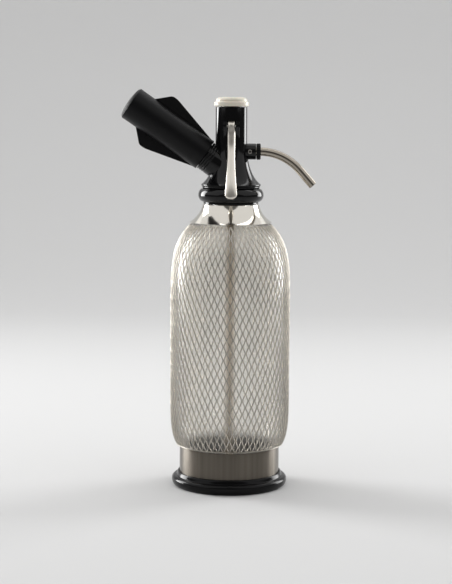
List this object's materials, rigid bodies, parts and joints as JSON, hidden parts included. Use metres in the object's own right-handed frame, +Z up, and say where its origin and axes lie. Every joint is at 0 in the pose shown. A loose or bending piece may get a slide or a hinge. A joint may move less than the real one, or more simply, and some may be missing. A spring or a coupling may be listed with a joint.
{
  "type": "soda siphon",
  "caption": "Mesh-jacketed glass soda siphon with a steel foot cup, a black head, a squeeze lever, a curved spout and a winged gas charger holder.",
  "frame": {"origin": "centre of the flat underside of the base ring", "axes": "+Z up along the bottle, +X towards the spout, -X towards the charger holder, -Y towards the lever"},
  "size_m": [0.1641, 0.102, 0.3363],
  "materials": {
    "gloss_black": "gloss black moulded plastic",
    "satin_black": "satin black moulded plastic",
    "ivory": "ivory moulded plastic",
    "natural_plastic": "natural plastic",
    "rubber": "black rubber",
    "clear_glass": "clear pressed glass",
    "mesh_steel": "bright woven stainless wire",
    "brushed_band": "brushed stainless steel",
    "polished_steel": "polished stainless steel",
    "satin_chrome": "satin chrome",
    "brass": "turned brass",
    "charger_steel": "drawn steel"
  },
  "bodies": {
    "bottle": {"base_ring": "gloss_black", "foot_cup": "brushed_band", "bottle_cushion": "rubber", "glass_bottle": "clear_glass", "wire_mesh": "mesh_steel", "neck_collar": "polished_steel"},
    "riser": {"riser_tube": "natural_plastic", "riser_seal": "rubber", "filling_tube": "natural_plastic", "head_gasket": "rubber"},
    "head": {"head_body": "gloss_black", "spout_tube": "polished_steel", "spout_ring": "satin_black", "spout_set_screw": "polished_steel", "pivot_pin": "polished_steel", "piercing_pin": "brushed_band", "charger_seal": "rubber", "check_valve": "rubber"},
    "lever": {"lever": "satin_chrome"},
    "valve": {"valve_stem": "brass", "valve_seal": "rubber", "stem_seal": "rubber", "return_spring": "polished_steel"},
    "cap_ring": {"cap_seal": "rubber"},
    "cap": {"cap": "ivory"},
    "charger": {"gas_charger": "charger_steel"},
    "holder": {"charger_holder": "satin_black"}
  },
  "joints": [
    {"name": "head_lift", "type": "slide", "parent": "bottle", "child": "riser", "axis": [0, 0, 1], "range_m": [0, 0.00675]},
    {"name": "head_turn", "type": "hinge", "parent": "riser", "child": "head", "pos_m": [0, 0, 0.2406], "axis": [0, 0, 1], "range_deg": [0, 540]},
    {"name": "lever_squeeze", "type": "hinge", "parent": "head", "child": "lever", "pos_m": [0, -0.0142, 0.3059], "axis": [1, 0, 0], "range_deg": [0, 8], "stiffness_Nm_per_rad": 3, "springref_deg": -8.59},
    {"name": "valve_lift", "type": "slide", "parent": "head", "child": "valve", "axis": [0, 0, 1], "range_m": [0, 0.00198], "deforming": ["return_spring"]},
    {"name": "cap_lift", "type": "slide", "parent": "head", "child": "cap_ring", "axis": [0, 0, 1], "range_m": [0, 0.00375]},
    {"name": "cap_turn", "type": "hinge", "parent": "cap_ring", "child": "cap", "pos_m": [0, 0, 0.3223], "axis": [0, 0, 1], "range_deg": [0, 900]},
    {"name": "charger_slide", "type": "slide", "parent": "head", "child": "charger", "axis": [-0.8221, 0, 0.5693], "range_m": [0, 0.006]},
    {"name": "holder_turn", "type": "hinge", "parent": "charger", "child": "holder", "pos_m": [0, 0, 0.2663], "axis": [-0.8221, 0, 0.5693], "range_deg": [0, 1080]}
  ],
  "couplings": [
    {"joint": "head_turn", "follows": "head_lift", "rad_per_m": 1396.3},
    {"joint": "lever_squeeze", "follows": "valve_lift", "rad_per_m": 70.422},
    {"joint": "cap_turn", "follows": "cap_lift", "rad_per_m": 4188.8},
    {"joint": "holder_turn", "follows": "charger_slide", "rad_per_m": 3141.6}
  ]
}
